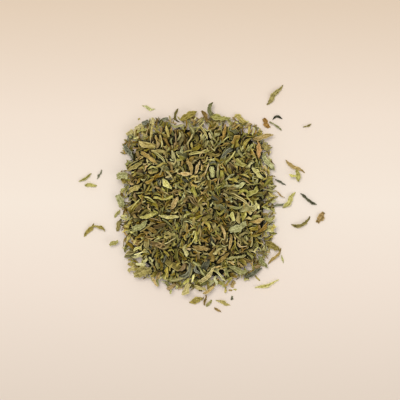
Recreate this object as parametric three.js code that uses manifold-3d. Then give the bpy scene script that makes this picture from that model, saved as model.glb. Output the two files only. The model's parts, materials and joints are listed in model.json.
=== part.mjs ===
// A heap of dried, rubbed holy basil leaf on a flat surface, with the flakes that have strayed from it.
// Millimetres, +Z up. The origin is on the surface, under the middle of the heap.
import * as THREE from "three";
import { mergeVertices } from "three/addons/utils/BufferGeometryUtils.js";
import Module from "manifold-3d";

const wasm = await Module();
wasm.setup();

// The heap is a low mound on a rounded-square plan.
const HALF_WIDTH = 46; // along X, to the foot of the slope
const HALF_DEPTH = 51; // along Y
const NORTH_SQUARENESS = 4; // power of the plan where Y is positive: 2 is an ellipse, more is squarer
const SOUTH_SQUARENESS = 3;
const HEIGHT = 18;
const CROWN = 2.3; // how far the flat of the top reaches
const SHOULDER = 0.9; // how round the slope is
const SWELL = 1.1; // height of the broad lumps left by pouring
const SLOPE_STEP = 2; // how far to each side the slope is measured

// Inside the flakes is a packed core, a closed skin of rings, roughened like crumbs.
const CORE_DEPTH = 1.8; // from the surface of the heap down to its core
const CORE_REACH = 0.9; // the core's foot, as a share of the heap's
const CORE_RINGS = 8;
const CORE_SECTORS = 36;
const CRUMB = 1; // how far a crumb stands out of the core, or sinks in
const UNDERSIDE = 1.7; // the core's underside above the surface, where flakes lie under it
const UNDER_RINGS = [0.72, 0.46, 0.2]; // the last one bounds the flat spot that the core rests on

// The flakes of the heap
const FLAKES = 165; // over the top and the slopes
const FOOT_FLAKES = 60; // round the foot, rooted in the core and half out on the surface
const UNDER_FLAKES = 24; // lying flat under the core
const FLAKE_LENGTH = 11;
const FLAKE_SHARE = 0.4; // width over length of a middling flake
const FLAKE_THICK = 1.1; // along the rib, thinning to nothing at the edges
const FLAKE_STATIONS = 3;
const FOOT = 0.9; // where the slope ends and flakes lie flat, as a share of the heap's reach
const FIRST_FOOT_FLAKE = 1000; // numbers the flakes of the foot apart from the others
const FIRST_UNDER_FLAKE = 2000;

// How they lie. Each pair is the least and the most that may be drawn, in millimetres or degrees.
const SIZE_SPREAD = [0.75, 1.25]; // of a flake's length and width round the middling ones
const TOP_LIFT = [-0.7, 0.2]; // of its middle over the slope
const TOP_PITCH = [16, 36];
const TOP_ROLL = [-30, 30];
const FOOT_SHARE = [0.88, 0.98]; // of the heap's reach
const FOOT_LIFT = [1.4, 3.2];
const FOOT_PITCH = [4, 18];
const FOOT_TURN = [-60, 60]; // off the straight way out
const UNDER_SHARE = [0.25, 0.85];
const UNDER_LIFT = [0.7, 1.1];
const ALL_ROUND = [0, 360];

// The leaves that lie loose, each a piece of its own
const LEAF_THICK = 0.7;
const LEAF_STATIONS = 5;
const REST_GAP = 0.12; // left between a loose leaf and what it lies on
const FLAT_SPOT = 0.2; // how much of a leaf's lowest points is pressed flat where it lies on the surface
const FALL_HEIGHT = 8; // over the slope, where it starts to fall
const FALL_STEP = 0.3;
const TOUCH = 1e-6; // two pieces that share less volume than this don't touch
const ROUNDNESS = 0.85; // power of a leaf's outline: 1 is a sine, less is fuller

const MERGE = 1e-3; // points closer than this are one point
const RADIANS = Math.PI / 180;
const UP = new THREE.Vector3(0, 0, 1);

// How a piece of leaf has dried, in degrees from end to end. fold lifts the two halves from the rib, curl
// bows the ends down (or up, when negative), sweep bends it sideways and twist turns it about its rib. widest
// is where along the leaf it is widest, and torn ends are blunt.
const KINDS = {
  blade: { fold: 34, curl: 38, sweep: 14, twist: 24, widest: 0.42, torn: 0 },
  boat: { fold: 56, curl: -34, sweep: 18, twist: -14, widest: 0.5, torn: 0 },
  hook: { fold: 44, curl: 26, sweep: 112, twist: 20, widest: 0.38, torn: 0 },
  scrap: { fold: 18, curl: 34, sweep: -16, twist: 10, widest: 0.5, torn: 0.55 },
  quill: { fold: 64, curl: 22, sweep: -26, twist: 30, widest: 0.45, torn: 0.3 },
  screw: { fold: 30, curl: 30, sweep: 24, twist: 96, widest: 0.5, torn: 0 },
  arch: { fold: 26, curl: 84, sweep: -12, twist: -18, widest: 0.46, torn: 0.2 },
};
const FLAKE_KINDS = ["blade", "boat", "arch", "quill", "screw", "scrap", "hook", "blade"];

const TINTS = {
  olive: 0x6f6a30,
  lime: 0x8d9048,
  tan: 0xa0803f,
  sage: 0x7f8a5c,
  slate: 0x4a4f42,
  bronze: 0x6d5228,
};

// The leaves that can be told apart on the heap: name, kind, tint, middle in X and Y, heading from +X,
// length and width.
const LEAVES_ON_HEAP = [
  ["leaf_broad_sage", "blade", "sage", -34, -13.2, 31, 14, 6.2],
  ["leaf_long_lime", "blade", "lime", -28.8, -7.2, 12, 13, 4.4],
  ["leaf_mid_lime", "boat", "lime", -16.5, -7.6, -4, 12.5, 4.6],
  ["leaf_tan_level", "blade", "tan", -7.2, 16.8, 177, 10.4, 4.2],
  ["leaf_tan_upright", "blade", "tan", -4.7, 21.8, 108, 10.4, 4.2],
  ["leaf_tan_leaning", "boat", "tan", 0, 20.9, 70, 10, 4],
  ["leaf_mid_olive", "blade", "tan", -13.5, 0, 58, 10, 5.4],
  ["leaf_east_lime", "blade", "lime", 36.4, 17.6, -38, 12, 4.4],
  ["leaf_edge_sage", "blade", "sage", 42.6, 24.8, -53, 14, 5.4],
  ["leaf_rust", "blade", "bronze", 35.7, 32, 90, 11.5, 4.4],
  ["leaf_east_round", "scrap", "olive", 41, 33.6, -40, 5.4, 4.8],
  ["leaf_corner_tip", "blade", "tan", 39.4, 39.6, 15, 13.5, 5],
  ["leaf_top_crescent", "hook", "sage", 10.2, 54.6, -80, 14, 4.4],
  ["leaf_top_pointed", "blade", "lime", 13.8, 51.2, -4, 12.8, 5.6],
  ["leaf_top_fan", "blade", "olive", -5.1, 52.4, 30, 12, 7.4],
  ["leaf_top_hook", "hook", "olive", -10.7, 52.5, -84, 11, 3.4],
  ["leaf_top_bronze", "scrap", "bronze", 4.4, 51.6, -62, 9, 3.6],
  ["leaf_north_east", "scrap", "olive", 25.8, 50.2, -38, 8.4, 4.4],
  ["leaf_ragged_sage", "scrap", "sage", 24.3, -14.2, 25, 11, 5.2],
  ["leaf_south_olive", "blade", "olive", 5.8, -42.2, 47, 15.5, 5],
  ["leaf_pale_south", "blade", "sage", 24.8, -39, -18, 16, 5.4],
  ["leaf_dark_south", "blade", "slate", 33.6, -41.4, 28, 13, 5],
  ["leaf_low_sage", "blade", "sage", 39.6, -35.4, -52, 9.6, 4.6],
  ["leaf_corner_olive", "blade", "olive", 45.4, -25.6, -32, 10.5, 6.4],
  ["leaf_round_green", "scrap", "olive", -32.1, -41.2, 14, 11.5, 7.8],
  ["leaf_round_west", "scrap", "sage", -44.4, 15.9, 5, 7, 6.2],
  ["leaf_west_lobe", "scrap", "sage", -46.2, 1.4, -66, 8, 5.4],
  ["leaf_west_bit", "blade", "lime", -47.8, -6.3, 55, 6.4, 3.2],
  ["leaf_west_low", "blade", "olive", -47, -13.2, 72, 9, 5.2],
  ["leaf_pointed_tan", "blade", "tan", -28.3, 27, -36, 15, 4.8],
  ["leaf_dark_curl", "boat", "slate", -40.8, 30.8, -58, 11.5, 6],
];

// The leaves that lie on the surface round the heap, in the same columns.
const STRAYS = [
  ["stray_far_blade", "blade", "olive", 46.7, 64.9, 51, 16.8, 4.6],
  ["stray_pale_sprig", "screw", "sage", -28.9, 57.3, -18, 9.7, 3],
  ["stray_rust_chip", "scrap", "bronze", 41.5, 47.7, -60, 6.4, 4],
  ["stray_green_bit", "quill", "sage", 46.9, 46.1, -34, 9, 3],
  ["stray_dark_bit", "hook", "slate", 48.2, 50.2, 186, 7.4, 2.6],
  ["stray_east_bit", "boat", "olive", 66, 46.6, 20, 5.6, 2.8],
  ["stray_tan_strip", "blade", "tan", 59, 21.9, -32, 16, 3.8],
  ["stray_lobed_green", "arch", "lime", 60.2, 16.4, -80, 7.8, 4],
  ["stray_thin_green", "screw", "slate", 50.2, 12.6, -28, 9, 2.6],
  ["stray_east_leaf", "blade", "lime", 55.2, 1.8, 53, 14, 5.4],
  ["stray_slate_leaf", "boat", "slate", 66.9, 2.4, -37, 12.4, 5.6],
  ["stray_brown_chip", "scrap", "bronze", 74.1, -8.9, 60, 7.4, 4.8],
  ["stray_crescent", "hook", "olive", 61.9, -10.3, 24, 15.5, 5],
  ["stray_south_east", "blade", "tan", 46.6, -31.8, 50, 14, 3.6],
  ["stray_pale_curl", "boat", "lime", 41.8, -48.3, 18, 15.5, 3.6],
  ["stray_south_leaf", "blade", "olive", -0.2, -58, 20, 9.8, 5.4],
  ["stray_south_brown", "quill", "bronze", 5.1, -58.2, 80, 6.4, 3],
  ["stray_south_green", "arch", "lime", 7.2, -60.2, 50, 5.6, 2.6],
  ["stray_south_olive", "screw", "olive", 15.7, -59.5, -20, 9.8, 3.6],
  ["stray_lowest", "blade", "bronze", 12.5, -64, -33, 5.6, 2.4],
  ["stray_south_chip", "scrap", "tan", 21.7, -48.6, 70, 4.2, 3.2],
  ["stray_west_green", "boat", "lime", -67.1, 15.3, 33, 9.6, 3.8],
  ["stray_west_fork", "blade", "lime", -63.6, 11, -3, 8.8, 4.2],
  ["stray_west_twig", "screw", "slate", -58.6, 17.3, 64, 7.6, 2],
  ["stray_fork_left", "blade", "olive", -64.8, -16.2, 52, 10.6, 4],
  ["stray_fork_right", "hook", "olive", -59.4, -16.8, 166, 10.4, 3],
  ["stray_west_square", "scrap", "lime", -49.7, -24.1, 25, 5.6, 3.2],
  ["stray_south_west", "boat", "tan", -24.8, -47, -62, 6.8, 3.4],
];

// A repeatable draw from 0 to 1 for the nth piece; salt picks which of its values is drawn.
function draw(n, salt) {
  const wave = Math.sin(n * 12.9898 + salt * 78.233) * 43758.5453;
  return wave - Math.floor(wave);
}

function drawFrom([least, most], n, salt) {
  return least + (most - least) * draw(n, salt);
}

// 0 at the middle of the heap and 1 at its foot.
function reach(x, y) {
  const power = y > 0 ? NORTH_SQUARENESS : SOUTH_SQUARENESS;
  return (Math.abs(x / HALF_WIDTH) ** power + Math.abs(y / HALF_DEPTH) ** power) ** (1 / power);
}

function heapHeight(x, y) {
  const r = reach(x, y);
  if (r >= 1) return 0;
  const lumps = Math.sin(x / 9 + 0.7) * Math.cos(y / 11) + 0.6 * Math.sin(x / 5.5 - y / 6.5);
  return HEIGHT * (1 - r ** CROWN) ** SHOULDER + SWELL * lumps * (1 - r * r);
}

// The way a flake at this place faces: off the slope, and up where it lies flat at the foot.
function facing(x, y) {
  const level = (reach(x, y) > FOOT ? 0.2 : 0.8) / (2 * SLOPE_STEP);
  const riseX = heapHeight(x + SLOPE_STEP, y) - heapHeight(x - SLOPE_STEP, y);
  const riseY = heapHeight(x, y + SLOPE_STEP) - heapHeight(x, y - SLOPE_STEP);
  return new THREE.Vector3(-riseX * level, -riseY * level, 1).normalize();
}

function closedMesh(points, triangles) {
  const geometry = new THREE.BufferGeometry();
  const places = points.flatMap((p) => p.toArray());
  geometry.setAttribute("position", new THREE.Float32BufferAttribute(places, 3));
  geometry.setIndex(triangles.flat());
  return geometry;
}

function solidFrom(geometry) {
  const bare = geometry.clone();
  bare.deleteAttribute("normal");
  bare.deleteAttribute("uv");
  const merged = mergeVertices(bare, MERGE);
  return new wasm.Manifold(
    new wasm.Mesh({
      numProp: 3,
      vertProperties: new Float32Array(merged.attributes.position.array),
      triVerts: new Uint32Array(merged.index.array),
    }),
  );
}

function geometryFrom(solid) {
  const { vertProperties, triVerts } = solid.getMesh();
  const geometry = new THREE.BufferGeometry();
  geometry.setAttribute("position", new THREE.BufferAttribute(vertProperties, 3));
  geometry.setIndex(new THREE.BufferAttribute(triVerts, 1));
  geometry.computeVertexNormals();
  return geometry;
}

// The outer skin of the largest body: pockets sealed inside it are filled, and loose scraps dropped. A
// pocket that touches the outside at an edge comes free only once the skin has been sewn anew, so this goes
// on until one is left.
function largestBody(solid) {
  let skins = solidFrom(geometryFrom(solid)).decompose();
  while (skins.length > 1) {
    const largest = skins.reduce((best, skin) => (skin.volume() > best.volume() ? skin : best));
    skins = solidFrom(geometryFrom(largest)).decompose();
  }
  return skins[0];
}

// Half the leaf's width at t, from 0 at the stalk end to 1 at the tip, as a share of its greatest half
// width.
function outline(t, kind) {
  const { widest } = kind;
  const bent = t < widest ? (0.5 * t) / widest : 0.5 + (0.5 * (t - widest)) / (1 - widest);
  return kind.torn + (1 - kind.torn) * Math.sin(Math.PI * bent) ** ROUNDNESS;
}

// A dried piece of leaf along X, its middle at the origin: rings of points along its rib, closed at both
// ends. Edged pieces keep their thickness to the edge, and the others thin to a line there.
function driedLeaf(kind, length, width, thick, stations, edged) {
  const spine = [];
  const place = new THREE.Vector3();
  for (let i = 0; i <= stations; i += 1) {
    const t = i / stations;
    const turn = kind.sweep * RADIANS * (t - 0.5);
    const tilt = kind.curl * RADIANS * (t - 0.5);
    const along = new THREE.Vector3(
      Math.cos(tilt) * Math.cos(turn),
      Math.cos(tilt) * Math.sin(turn),
      -Math.sin(tilt),
    );
    const side = new THREE.Vector3(-Math.sin(turn), Math.cos(turn), 0);
    const lift = along.clone().cross(side);
    const roll = kind.twist * RADIANS * (t - 0.5);
    side.applyAxisAngle(along, roll);
    lift.applyAxisAngle(along, roll);
    if (i > 0) place.addScaledVector(along, length / stations);
    spine.push({ t, at: place.clone(), side, lift });
  }
  const middle = spine[0].at.clone().add(spine[stations].at).multiplyScalar(0.5);

  const fold = kind.fold * RADIANS;
  const rings = spine.map(({ t, at, side, lift }) => {
    const centre = at.clone().sub(middle);
    const half = (width / 2) * outline(t, kind);
    if (half < 1e-6) return [centre];
    const point = (across, above) =>
      centre.clone().addScaledVector(side, across).addScaledVector(lift, above);
    const rib = thick / 2 / Math.cos(fold);
    const reachOut = half * Math.cos(fold);
    const reachUp = half * Math.sin(fold);
    if (!edged) {
      return [point(-reachOut, reachUp), point(0, rib), point(reachOut, reachUp), point(0, -rib)];
    }
    const inward = Math.min((thick / 2) * Math.sin(fold), 0.6 * reachOut);
    const above = (thick / 2) * Math.cos(fold);
    return [
      point(-reachOut + inward, reachUp + above),
      point(0, rib),
      point(reachOut - inward, reachUp + above),
      point(reachOut + inward, reachUp - above),
      point(0, -rib),
      point(-reachOut - inward, reachUp - above),
    ];
  });

  const points = rings.flat();
  const firsts = rings.map((ring, i) => rings.slice(0, i).flat().length);
  const triangles = [];
  rings.slice(1).forEach((ring, i) => {
    const back = rings[i].length;
    const front = ring.length;
    const corners = Math.max(back, front);
    for (let k = 0; k < corners; k += 1) {
      const next = (k + 1) % corners;
      const [a, b] = [firsts[i] + (k % back), firsts[i] + (next % back)];
      const [c, d] = [firsts[i + 1] + (k % front), firsts[i + 1] + (next % front)];
      if (a !== b) triangles.push([a, d, b]);
      if (c !== d) triangles.push([a, c, d]);
    }
  });
  const cap = (ring, first, flip) => {
    if (ring.length < 3) return;
    const rib = 1;
    for (let k = 0; k < ring.length; k += 1) {
      const next = (k + 1) % ring.length;
      if (k === rib || next === rib) continue;
      const [near, far] = flip ? [next, k] : [k, next];
      triangles.push([first + rib, first + near, first + far]);
    }
  };
  cap(rings[0], firsts[0], false);
  cap(rings[stations], firsts[stations], true);
  return closedMesh(points, triangles);
}

// The packed core: a fan at the crown, rings down the slope, and rings back under it to the flat spot.
function coreGeometry() {
  const slope = Array.from({ length: CORE_RINGS }, (_, i) => CORE_REACH * ((i + 1) / CORE_RINGS) ** 0.8);
  const shares = [...slope, ...UNDER_RINGS];
  const points = [new THREE.Vector3(0, 0, heapHeight(0, 0) - CORE_DEPTH)];
  shares.forEach((share, ring) => {
    for (let sector = 0; sector < CORE_SECTORS; sector += 1) {
      // Every other ring stands half a sector further round.
      const angle = (2 * Math.PI * (sector + (ring % 2) / 2)) / CORE_SECTORS;
      const out = share / reach(Math.cos(angle), Math.sin(angle));
      const [x, y] = [Math.cos(angle) * out, Math.sin(angle) * out];
      const rough = CRUMB * (2 * draw(ring * CORE_SECTORS + sector, 9) - 1);
      let z = Math.max(UNDERSIDE + 0.8, heapHeight(x, y) - CORE_DEPTH + rough);
      if (ring >= CORE_RINGS) z = UNDERSIDE + 0.3 * rough;
      if (ring === shares.length - 1) z = 0;
      points.push(new THREE.Vector3(x, y, z));
    }
  });
  const spot = points.push(new THREE.Vector3(0, 0, 0)) - 1;
  const triangles = [];
  const at = (ring, sector) => 1 + ring * CORE_SECTORS + (sector % CORE_SECTORS);
  for (let sector = 0; sector < CORE_SECTORS; sector += 1) {
    triangles.push([0, at(0, sector), at(0, sector + 1)]);
    for (let ring = 0; ring < shares.length - 1; ring += 1) {
      const [a, b] = [at(ring, sector), at(ring, sector + 1)];
      const [c, d] = [at(ring + 1, sector), at(ring + 1, sector + 1)];
      if (ring % 2) triangles.push([a, c, d], [a, d, b]);
      else triangles.push([a, c, b], [b, c, d]);
    }
    triangles.push([spot, at(shares.length - 1, sector + 1), at(shares.length - 1, sector)]);
  }
  return closedMesh(points, triangles);
}

// Everything under the surface that the heap lies on, to cut away what would reach into it.
function underTable() {
  const box = new THREE.BoxGeometry(400, 400, 40).translate(0, 0, -20);
  return solidFrom(box);
}

// Lays a leaf along X at its place on a surface facing up, turned to its heading and tipped by pitch and
// roll.
function layAt(geometry, place, up, heading, pitch = 0, roll = 0) {
  const turn = new THREE.Quaternion().setFromUnitVectors(UP, up);
  turn.multiply(new THREE.Quaternion().setFromAxisAngle(UP, heading * RADIANS));
  turn.multiply(new THREE.Quaternion().setFromAxisAngle(new THREE.Vector3(0, 1, 0), pitch * RADIANS));
  turn.multiply(new THREE.Quaternion().setFromAxisAngle(new THREE.Vector3(1, 0, 0), roll * RADIANS));
  return geometry.applyMatrix4(new THREE.Matrix4().compose(place, turn, new THREE.Vector3(1, 1, 1)));
}

// The nth flake of the heap, along its heading and tipped so that one end goes down.
function heapFlake(n, place, up, heading, pitch = 0, roll = 0) {
  const kind = KINDS[FLAKE_KINDS[n % FLAKE_KINDS.length]];
  const length = FLAKE_LENGTH * drawFrom(SIZE_SPREAD, n, 1);
  const width = length * FLAKE_SHARE * drawFrom(SIZE_SPREAD, n, 2);
  const flake = driedLeaf(kind, length, width, FLAKE_THICK, FLAKE_STATIONS, false);
  return solidFrom(layAt(flake, place, up, heading, pitch, roll));
}

// The nth place of an even scatter over the heap's plan, to the edges of the box round it.
function scattered(n) {
  return [HALF_WIDTH * (2 * ((n * 0.7548776662) % 1) - 1), HALF_DEPTH * (2 * ((n * 0.569840291) % 1) - 1)];
}

// Flakes over the top and the slopes, each with one end down in the core.
function topFlakes() {
  const flakes = [];
  for (let n = 1; flakes.length < FLAKES; n += 1) {
    const [x, y] = scattered(n);
    if (reach(x, y) > FOOT) continue;
    const place = new THREE.Vector3(x, y, heapHeight(x, y) + drawFrom(TOP_LIFT, n, 6));
    const heading = drawFrom(ALL_ROUND, n, 3);
    const [pitch, roll] = [drawFrom(TOP_PITCH, n, 4), drawFrom(TOP_ROLL, n, 5)];
    flakes.push(heapFlake(n, place, facing(x, y), heading, pitch, roll));
  }
  return flakes;
}

// Flakes round the foot, which make its ragged edge. They point away from the heap, more or less.
function footFlakes() {
  return Array.from({ length: FOOT_FLAKES }, (_, i) => {
    const n = FIRST_FOOT_FLAKE + i;
    const angle = (360 * (i + 0.6 * draw(n, 7))) / FOOT_FLAKES;
    const place = new THREE.Vector3(Math.cos(angle * RADIANS), Math.sin(angle * RADIANS), 0);
    place.multiplyScalar(drawFrom(FOOT_SHARE, n, 8) / reach(place.x, place.y));
    place.setZ(drawFrom(FOOT_LIFT, n, 6));
    const heading = angle + drawFrom(FOOT_TURN, n, 3);
    return heapFlake(n, place, facing(place.x, place.y), heading, drawFrom(FOOT_PITCH, n, 4));
  });
}

// Flakes under the core, which are pressed flat where they touch the surface.
function underFlakes() {
  const flakes = [];
  for (let n = FIRST_UNDER_FLAKE; flakes.length < UNDER_FLAKES; n += 1) {
    const [x, y] = scattered(n);
    const share = reach(x, y);
    if (share < UNDER_SHARE[0] || share > UNDER_SHARE[1]) continue;
    const place = new THREE.Vector3(x, y, drawFrom(UNDER_LIFT, n, 6));
    flakes.push(heapFlake(n, place, UP, drawFrom(ALL_ROUND, n, 3)));
  }
  return flakes;
}

// The heap: the core with its flakes, joined into one body and cut off level with the surface that it lies
// on.
function heapSolid() {
  const pieces = [solidFrom(coreGeometry()), ...topFlakes(), ...footFlakes(), ...underFlakes()];
  return largestBody(wasm.Manifold.union(pieces).subtract(underTable()));
}

// Brings a leaf down until it meets the surface or a piece that already lies there.
function settle(leaf, resting, drop) {
  const clear = (height) => {
    const moved = leaf.translate([0, 0, height]);
    return resting.every((under) => moved.intersect(under).volume() < TOUCH);
  };
  const lowest = -leaf.boundingBox().min[2] - FLAT_SPOT;
  let height = Math.max(lowest, drop);
  while (height > lowest && clear(height - FALL_STEP)) height -= FALL_STEP;
  while (!clear(height)) height += FALL_STEP / 3;
  return leaf.translate([0, 0, Math.max(lowest, height) + (height > lowest ? REST_GAP : 0)]);
}

function nodeMesh(name, solid, tint) {
  const mesh = new THREE.Mesh(
    geometryFrom(solid),
    new THREE.MeshStandardMaterial({ color: TINTS[tint], roughness: 0.85, metalness: 0 }),
  );
  mesh.name = name;
  return mesh;
}

const heap = heapSolid();
const table = underTable();
const lying = [heap];
const herb = new THREE.Group();
herb.add(nodeMesh("heap", heap, "olive"));
[...STRAYS, ...LEAVES_ON_HEAP].forEach(([name, kind, tint, x, y, heading, length, width]) => {
  const leaf = driedLeaf(KINDS[kind], length, width, LEAF_THICK, LEAF_STATIONS, true);
  const placed = solidFrom(layAt(leaf, new THREE.Vector3(x, y, 0), facing(x, y), heading));
  const settled = largestBody(settle(placed, lying, heapHeight(x, y) + FALL_HEIGHT).subtract(table));
  lying.push(settled);
  herb.add(nodeMesh(name, settled, tint));
});

export default herb;
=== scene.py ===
# %% [markdown]
# # A heap of dried holy basil leaf
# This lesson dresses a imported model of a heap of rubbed, dried herb. The model brings the exact places
# and sizes: one solid for the heap and one for each leaf that lies loose. Here each of them gets thin,
# folded, worn leaves with veins, and the heap gets the thousands of small flakes that the solid only
# hints at.

# %% Load the model and keep its box
from math import cos, floor, pi, radians, sin

import bmesh
import bpy
import numpy as np
from mathutils import Matrix, Quaternion, Vector, noise
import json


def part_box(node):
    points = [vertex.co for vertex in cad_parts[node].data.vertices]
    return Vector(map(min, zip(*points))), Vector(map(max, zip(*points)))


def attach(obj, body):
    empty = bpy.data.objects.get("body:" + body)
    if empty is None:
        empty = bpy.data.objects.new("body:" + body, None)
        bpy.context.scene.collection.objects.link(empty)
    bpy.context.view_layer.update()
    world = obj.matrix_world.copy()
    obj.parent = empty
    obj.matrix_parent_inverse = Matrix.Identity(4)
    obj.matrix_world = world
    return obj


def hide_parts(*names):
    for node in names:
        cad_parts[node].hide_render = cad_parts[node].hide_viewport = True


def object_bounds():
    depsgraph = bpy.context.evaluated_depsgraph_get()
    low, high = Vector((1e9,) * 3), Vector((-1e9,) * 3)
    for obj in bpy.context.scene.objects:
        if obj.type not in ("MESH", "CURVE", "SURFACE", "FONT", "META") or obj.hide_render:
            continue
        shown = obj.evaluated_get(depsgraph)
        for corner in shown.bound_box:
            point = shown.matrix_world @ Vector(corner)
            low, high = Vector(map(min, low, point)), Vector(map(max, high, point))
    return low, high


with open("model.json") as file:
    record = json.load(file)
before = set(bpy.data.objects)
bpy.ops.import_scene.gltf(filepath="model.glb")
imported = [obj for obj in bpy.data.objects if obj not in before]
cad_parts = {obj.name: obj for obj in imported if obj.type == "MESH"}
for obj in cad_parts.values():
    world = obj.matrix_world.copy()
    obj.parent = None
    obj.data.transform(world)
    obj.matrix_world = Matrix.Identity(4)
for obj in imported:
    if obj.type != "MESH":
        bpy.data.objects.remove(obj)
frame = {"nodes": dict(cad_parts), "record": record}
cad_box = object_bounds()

slot_of = {row["node"]: row["material_slot"] for row in frame["record"]["subparts"]}
print("nodes", len(frame["nodes"]), "box", cad_box)

# %% [markdown]
# ## Sizes
# Blender works in metres here, and leaf is easier to think about in millimetres, so one name turns one
# into the other. The heap is a low mound on a rounded-square plan. The same few numbers that shaped the
# solid are written down again, so that a flake placed here lands on the same slope.

# %% The heap's shape
MM = 0.001
HALF_WIDTH = 46 * MM
HALF_DEPTH = 51 * MM
NORTH_SQUARENESS = 4
SOUTH_SQUARENESS = 3
HEIGHT = 18 * MM
CROWN = 2.3
SHOULDER = 0.9
SWELL = 1.1 * MM
FOOT = 0.9
SLOPE_STEP = 2 * MM
FOOT_LEAN = 0.2
TOP_LEAN = 0.8


def reach(x, y):
    """0 at the middle of the heap and 1 at its foot."""
    power = NORTH_SQUARENESS if y > 0 else SOUTH_SQUARENESS
    return (abs(x / HALF_WIDTH) ** power + abs(y / HALF_DEPTH) ** power) ** (1 / power)


def heap_height(x, y):
    """The height of the heap's smooth slope, with a few broad lumps."""
    r = reach(x, y)
    if r >= 1:
        return 0.0
    u, v = x / MM, y / MM
    lumps = sin(u / 9 + 0.7) * cos(v / 11) + 0.6 * sin(u / 5.5 - v / 6.5)
    return HEIGHT * (1 - r**CROWN) ** SHOULDER + SWELL * lumps * (1 - r * r)


def facing(x, y):
    """The way a flake lying here faces: off the slope, and up where it lies flat at the foot."""
    level = (FOOT_LEAN if reach(x, y) > FOOT else TOP_LEAN) / (2 * SLOPE_STEP)
    rise_x = heap_height(x + SLOPE_STEP, y) - heap_height(x - SLOPE_STEP, y)
    rise_y = heap_height(x, y + SLOPE_STEP) - heap_height(x, y - SLOPE_STEP)
    return Vector((-rise_x * level, -rise_y * level, 1)).normalized()


def draw(n, salt):
    """A repeatable number from 0 to 1 for the nth piece; salt picks which of its values is drawn."""
    wave = sin(n * 12.9898 + salt * 78.233) * 43758.5453
    return wave - floor(wave)


def draw_from(span, n, salt):
    return span[0] + (span[1] - span[0]) * draw(n, salt)


print("crown of the heap", round(heap_height(0, 0) / MM, 1), "mm")

# %% [markdown]
# ## The view
# The leaf was photographed from straight above, so the camera hangs over the heap and looks down. It
# stands well off with a long lens, because a near one would make the crown look bigger than the foot. The
# picture takes in 240 mm of the table.

# %% Camera
VIEW_WIDTH = 240 * MM
VIEW_MIDDLE = Vector((1.8 * MM, 1.8 * MM, 0))
CAMERA_HEIGHT = 1.1
SENSOR = 36

camera_data = bpy.data.cameras.new("overhead")
camera_data.sensor_width = SENSOR
camera_data.lens = SENSOR * CAMERA_HEIGHT / VIEW_WIDTH
camera_data.clip_end = 20
camera = bpy.data.objects.new("overhead", camera_data)
camera.location = VIEW_MIDDLE + Vector((0, 0, CAMERA_HEIGHT))
bpy.context.scene.collection.objects.link(camera)
bpy.context.scene.camera = camera
print("lens", round(camera_data.lens), "mm")

# %% [markdown]
# ## Helpers for colour and nodes
# Colours are easiest to pick as the eye sees them on a screen, while shaders add up light, so each picked
# colour is turned into light before it goes into a socket. A small helper adds a shader node and sets its
# sockets by name, which keeps the finishes short enough to read.


# %% Colour and node helpers
def light_of(code):
    """A screen colour such as "7b7236" as light, for a shader socket."""
    parts = [int(code[i : i + 2], 16) / 255 for i in (0, 2, 4)]
    return tuple(p / 12.92 if p <= 0.04045 else ((p + 0.055) / 1.055) ** 2.4 for p in parts) + (1.0,)


def feed(tree, socket, value):
    """Links a socket to another one, or gives it a plain value."""
    if isinstance(value, bpy.types.NodeSocket):
        tree.links.new(value, socket)
    else:
        socket.default_value = value


def node(tree, kind, settings=(), **sockets):
    made = tree.nodes.new("ShaderNode" + kind)
    for name, value in dict(settings).items():
        setattr(made, name, value)
    for name, value in sockets.items():
        feed(tree, made.inputs[int(name[1:]) if name[0] == "_" else name.replace("_", " ")], value)
    return made


def ramp(tree, factor, *stops):
    """A run of colours over 0 to 1, as (place, colour) pairs."""
    made = node(tree, "ValToRGB", _0=factor)
    line = made.color_ramp.elements
    while len(line) < len(stops):
        line.new(0.5)
    for element, (place, code) in zip(line, stops):
        element.position = place
        element.color = light_of(code)
    return made.outputs["Color"]


def blend(tree, way, factor, below, above):
    """Mixes two colours. way is MIX, MULTIPLY and so on."""
    made = node(tree, "Mix", {"data_type": "RGBA", "blend_type": way}, _0=factor, _6=below, _7=above)
    return made.outputs[2]


def count(tree, sum_kind, *values):
    """Does one sum with numbers or sockets. sum_kind is ADD, MULTIPLY and so on."""
    made = node(tree, "Math", {"operation": sum_kind})
    for socket, value in zip(made.inputs, values):
        feed(tree, socket, value)
    return made.outputs[0]


def new_finish(name, roughness):
    finish = bpy.data.materials.new(name)
    finish.use_nodes = True
    tree = finish.node_tree
    shader = tree.nodes["Principled BSDF"]
    shader.inputs["Roughness"].default_value = roughness
    shader.inputs["Specular IOR Level"].default_value = 0.2
    return finish, tree, shader


# %% [markdown]
# ## The table and the light
# The table is a plain, warm, pale board. In the picture it is a little darker towards the far and near
# edges, where the light falls off, and that falloff is painted into its colour as a slow run along Y. One
# very large soft lamp hangs overhead, a little to the upper left, a weaker one fills in from the lower
# right, and the sky does the rest. Hard light would draw black shadows under every flake, which the
# picture doesn't have.

# %% Table, lamps and sky
TABLE_SIZE = 6.0
RUN_START = -120 * MM
RUN_LENGTH = 240 * MM
SKY_COLOUR = "fffefc"
SKY_STRENGTH = 0.44

bpy.ops.object.select_all(action="DESELECT")
bpy.ops.mesh.primitive_plane_add(size=TABLE_SIZE, location=(0, 0, 0))
table = bpy.context.object
table.name = "table"

table_finish, tree, shader = new_finish("warm board", roughness=0.9)
place = node(tree, "TexCoord").outputs["Object"]
along = node(tree, "SeparateXYZ", Vector=place).outputs["Y"]
run = count(tree, "DIVIDE", count(tree, "SUBTRACT", along, RUN_START), RUN_LENGTH)
# Painted light: the board is lighter in the middle and darker towards the far and near edges.
board = ramp(tree, run, (0.0, "d6c8bb"), (0.3, "e2d4c8"), (0.5, "e6dace"), (0.72, "e2d3c5"), (1.0, "d4c1ad"))
tree.links.new(board, shader.inputs["Base Color"])
shader.inputs["Specular IOR Level"].default_value = 0.1
table.data.materials.append(table_finish)


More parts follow.
